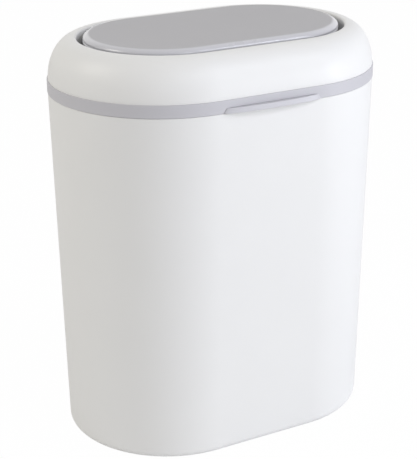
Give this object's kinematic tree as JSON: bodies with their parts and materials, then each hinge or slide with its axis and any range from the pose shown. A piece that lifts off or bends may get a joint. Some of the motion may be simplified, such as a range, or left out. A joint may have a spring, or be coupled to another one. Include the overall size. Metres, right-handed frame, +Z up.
{
  "type": "nappy bin",
  "caption": "Oval free-standing nappy bin with tapered tub, hinged domed lid, flush press-to-open door, finger lip and bag ring.",
  "frame": {"origin": "middle of the surface that the bin stands on", "axes": "+Z up; the front with the finger lip faces -Y and the lid hinge is at the back, +Y; the length runs along X"},
  "size_m": [0.349, 0.249, 0.425],
  "materials": {
    "white_plastic": "satin white moulded plastic",
    "grey_plastic": "satin light-grey moulded plastic",
    "door_plastic": "fine matt mid-grey moulded plastic",
    "inner_plastic": "matt dark-grey moulded plastic",
    "soft_seal": "soft matt rubber",
    "foot_rubber": "matt black rubber",
    "steel": "plain bright steel"
  },
  "bodies": {
    "bin": {"tub": "white_plastic", "foot_pad_1": "foot_rubber", "foot_pad_2": "foot_rubber", "foot_pad_3": "foot_rubber", "foot_pad_4": "foot_rubber", "bag_ring": "inner_plastic", "lid_hinge_pin": "steel"},
    "lid": {"rim_band": "grey_plastic", "lid_frame": "white_plastic", "lid_base": "inner_plastic", "rim_seal": "soft_seal", "door_seal": "soft_seal", "lid_screw_1": "steel", "lid_screw_2": "steel", "lid_screw_3": "steel", "lid_screw_4": "steel", "lid_screw_5": "steel", "lid_screw_6": "steel", "latch_housing": "inner_plastic", "latch_screw_1": "steel", "latch_screw_2": "steel", "latch_spring": "steel", "door_pivot_pin_left": "steel", "door_pivot_pin_right": "steel"},
    "door": {"door_panel": "door_plastic", "door_tray": "inner_plastic", "door_striker": "inner_plastic", "door_screw_1": "steel", "door_screw_2": "steel", "door_screw_3": "steel", "door_screw_4": "steel", "striker_screw": "steel"},
    "plunger": {"latch_plunger": "white_plastic"}
  },
  "joints": [
    {"name": "lid_hinge", "type": "hinge", "parent": "bin", "child": "lid", "pos_m": [0, 0.1212, 0.36845], "axis": [-1, 0, 0], "range_deg": [0, 95]},
    {"name": "door_hinge", "type": "hinge", "parent": "lid", "child": "door", "pos_m": [0, 0.076, 0.4188], "axis": [-1, 0, 0], "range_deg": [0, 80]},
    {"name": "latch_press", "type": "slide", "parent": "lid", "child": "plunger", "axis": [0, 0, 1], "range_m": [-0.003, 0], "stiffness_N_per_m": 150, "springref_m": 0.003, "deforming": ["latch_spring"]}
  ]
}
